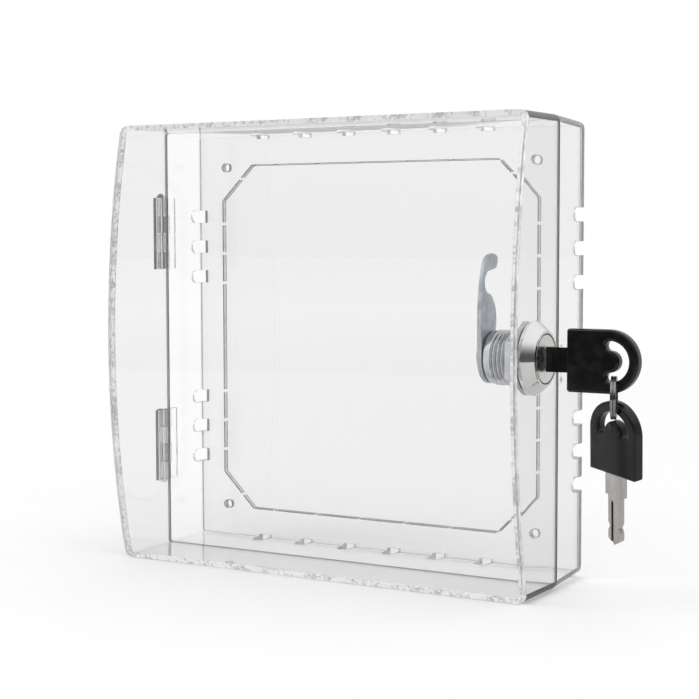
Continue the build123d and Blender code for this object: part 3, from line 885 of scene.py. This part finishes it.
def is_thread_root(face):
    middle = face.calc_center_median() - lock_centre
    return middle.x < -1.0 * MM and 8 * MM < math.hypot(middle.y, middle.z) < BARREL_RADIUS - 0.45 * MM


# painted shade: the groove round the plug and the roots of the thread are painted dark
paint(body_shape, is_barrel, 1)
paint(body_shape, is_groove, 2)
paint(body_shape, is_thread_root, 3)
smooth_faces(body_shape, math.radians(20))
lock_body = make_piece("lock_body", body_shape, [chrome, plating, groove_shadow, thread_root_shade], "cover",
                       ["lock_housing"])
print("lock body faces", len(lock_body.data.polygons))

# %% [markdown]
# The plug is the round face that the key goes into. Only its front edge and the mouth of its
# keyway are rounded, because the slots for the wafers are hidden inside.

# %% Round the front of the plug
plug_shape = welded_copy("lock_plug")
face_x = lock_centre.x + BEZEL_FACE
front_edges = [
    edge for edge in sharp_edges(plug_shape)
    if all(abs(vert.co.x - face_x) < 0.02 * MM for vert in edge.verts)
]
bevel_edges(plug_shape, front_edges, 0.2 * MM)
smooth_faces(plug_shape, ROUNDING_ANGLE, LARGE_FLAT)
plug_piece = make_piece("lock_plug_face", plug_shape, [plug_chrome], "lock_cylinder",
                        ["lock_plug"])
print("plug faces", len(plug_piece.data.polygons), "rounded edges", len(front_edges))

# %% [markdown]
# ## Split ring
# A split ring is a flat spring wire wound twice round, whose two turns lie side by side and
# change places in one short jog. Spinning the wire's section once round, then through the jog
# with a step sideways, then round again gives exactly that, with both cut ends showing.

# %% Wind the split ring
ring_low, ring_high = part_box("key_ring")
ring_centre = (ring_low + ring_high) / 2
RING_TURN = math.radians(18)
ring_axis = Vector((math.cos(RING_TURN), math.sin(RING_TURN), 0.0))
RING_OUTER = (ring_high.z - ring_low.z) / 2
WIRE_HEIGHT = 0.88 * MM
WIRE_WIDTH = 0.94 * MM
COIL_STEP = 1.02 * MM
WIRE_ROUND = 0.22 * MM
JOG = math.radians(24)
JOG_PLACE = math.radians(205)
STEPS_ROUND = 72

ring_shape = bmesh.new()
wire_middle = ring_centre + Vector((0, 0, RING_OUTER - WIRE_HEIGHT / 2 - 0.01 * MM)) - ring_axis * COIL_STEP / 2
corners = [
    ring_shape.verts.new(wire_middle + ring_axis * side * WIRE_WIDTH / 2 + Vector((0, 0, rise * WIRE_HEIGHT / 2)))
    for side, rise in ((-1, -1), (1, -1), (1, 1), (-1, 1))
]
section = ring_shape.faces.new(corners)
rounded = bmesh.ops.bevel(
    ring_shape, geom=corners, offset=WIRE_ROUND, offset_type="OFFSET", segments=3, profile=0.5,
    affect="VERTICES", material=-1,
)
bmesh.ops.rotate(
    ring_shape, verts=ring_shape.verts, cent=ring_centre,
    matrix=Matrix.Rotation(JOG_PLACE + JOG, 3, ring_axis),
)
wire_end = list(ring_shape.faces) + list(ring_shape.edges) + list(ring_shape.verts)
for angle, steps, sideways in (
    (math.tau - JOG, STEPS_ROUND, 0.0), (JOG, 10, COIL_STEP), (math.tau - JOG, STEPS_ROUND, 0.0),
):
    wound = bmesh.ops.spin(
        ring_shape, geom=wire_end, cent=ring_centre, axis=ring_axis, angle=angle, steps=steps,
        dvec=ring_axis * sideways / steps, use_merge=False,
    )
    wire_end = wound["geom_last"]
bmesh.ops.recalc_face_normals(ring_shape, faces=ring_shape.faces)
smooth_faces(ring_shape, math.radians(38))
split_ring = make_piece("split_ring_coil", ring_shape, [ring_steel], "split_ring", ["key_ring"])
low = [min(v.co[i] for v in split_ring.data.vertices) / MM for i in range(3)]
high = [max(v.co[i] for v in split_ring.data.vertices) / MM for i in range(3)]
print("split ring", [round(v, 2) for v in low], [round(v, 2) for v in high])
print("ring solid", [round(v / MM, 2) for v in ring_low], [round(v / MM, 2) for v in ring_high])

# %% [markdown]
# ## Floor, white surroundings and lamps
# The photograph is a cut-out on white. A pale floor under the box and an even white world give
# that without pushing extra light on the object: rays that come straight from the camera, or
# through the acrylic, or off the chrome, see white of strength 1, and only the soft light that
# falls on surfaces is turned down, to leave room for the lamps.

# %% Floor
floor_mesh = bpy.data.meshes.new("floor")
floor_shape = bmesh.new()
bmesh.ops.create_grid(floor_shape, x_segments=1, y_segments=1, size=6.0)
bmesh.ops.translate(floor_shape, verts=floor_shape.verts, vec=(0, 0, cad_box[0].z - 0.2 * MM))
floor_shape.to_mesh(floor_mesh)
floor_shape.free()
floor = bpy.data.objects.new("floor", floor_mesh)
bpy.context.scene.collection.objects.link(floor)

floor_finish = new_finish("pale_floor")
seen = floor_finish.node("ShaderNodeLightPath")
looked_at = seen["Is Camera Ray"] + seen["Is Transmission Ray"]
mirrored = seen["Is Glossy Ray"] * (1.0 - seen["Is Transmission Ray"])
floor_tone = floor_finish.mix_colour(mirrored, grey(0.96), grey(0.66))
pale = floor_finish.node("ShaderNodeBsdfDiffuse", None, {"Color": floor_tone.node.outputs[2]})["BSDF"]
_, floor_x, floor_y, _ = floor_finish.place()
from_middle = (floor_x * floor_x + floor_y * floor_y) ** 0.5
lamp_loss = from_middle.ramp(0.1, 2.2, 0.04, 0.21)
lift = floor_finish.node("ShaderNodeEmission", None, {"Strength": looked_at.ramp(0.0, 1.0) * lamp_loss})
both = floor_finish.node("ShaderNodeAddShader", None, {0: pale, 1: lift["Emission"]})["Shader"]
floor_mesh.materials.append(floor_finish.finish_with(both))
print("floor at", round(floor_mesh.vertices[0].co.z / MM, 1))

# %% World and lamps
world = bpy.data.worlds.new("white_room")
bpy.context.scene.world = world
room = Finish(world)
seen = room.node("ShaderNodeLightPath")
looked_at = seen["Is Camera Ray"] + seen["Is Glossy Ray"] + seen["Is Transmission Ray"]
room_strength = looked_at.ramp(0.0, 1.0, 0.85, 1.0)
room_light = room.node("ShaderNodeBackground", None, {"Color": grey(1.0), "Strength": room_strength})
room.node("ShaderNodeOutputWorld", None, {"Surface": room_light["Background"]})


band_mesh = bpy.data.meshes.new("studio_band")
band_shape = bmesh.new()
bmesh.ops.create_cone(
    band_shape, cap_ends=False, segments=96, radius1=0.7, radius2=0.7, depth=0.8,
    matrix=Matrix.Translation((0, 0, cad_box[0].z + 0.4)),
)
band_shape.to_mesh(band_mesh)
band_shape.free()
studio_band = bpy.data.objects.new("studio_band", band_mesh)
bpy.context.scene.collection.objects.link(studio_band)
studio_band.visible_camera = False
studio_band.visible_diffuse = False
studio_band.visible_transmission = False
studio_band.visible_shadow = False
band_finish = new_finish("studio_band_grey")
_, _, band_y, band_z = band_finish.place()
darkness = band_y.ramp(-0.4, 0.5, 0.1, 0.68)
fade = band_z.ramp(0.08, 0.6, 0.0, 1.0)
band_level = darkness + (1.0 - darkness) * fade
band_glow = band_finish.node("ShaderNodeEmission", None, {"Strength": band_level})["Emission"]
band_mesh.materials.append(band_finish.finish_with(band_glow))


def soft_lamp(name, position, size, power):
    """A square soft lamp that points at the middle of the box."""
    lamp_data = bpy.data.lights.new(name, "AREA")
    lamp_data.size = size
    lamp_data.energy = power
    lamp = bpy.data.objects.new(name, lamp_data)
    lamp.location = position
    lamp.rotation_euler = (Vector(position) - view_target).to_track_quat("Z", "Y").to_euler()
    bpy.context.scene.collection.objects.link(lamp)
    lamp.visible_camera = False
    lamp.visible_transmission = False
    return lamp


soft_lamp("upper_left_softbox", (-0.9, -0.9, 1.1), 0.8, 5.0)
soft_lamp("upper_right_softbox", (1.1, -0.5, 0.9), 0.6, 3.0).visible_glossy = False
bpy.context.scene.view_settings.view_transform = "Standard"

# %% Print the sizes and finish
print("cad box", [[round(v / MM, 1) for v in corner] for corner in cad_box])
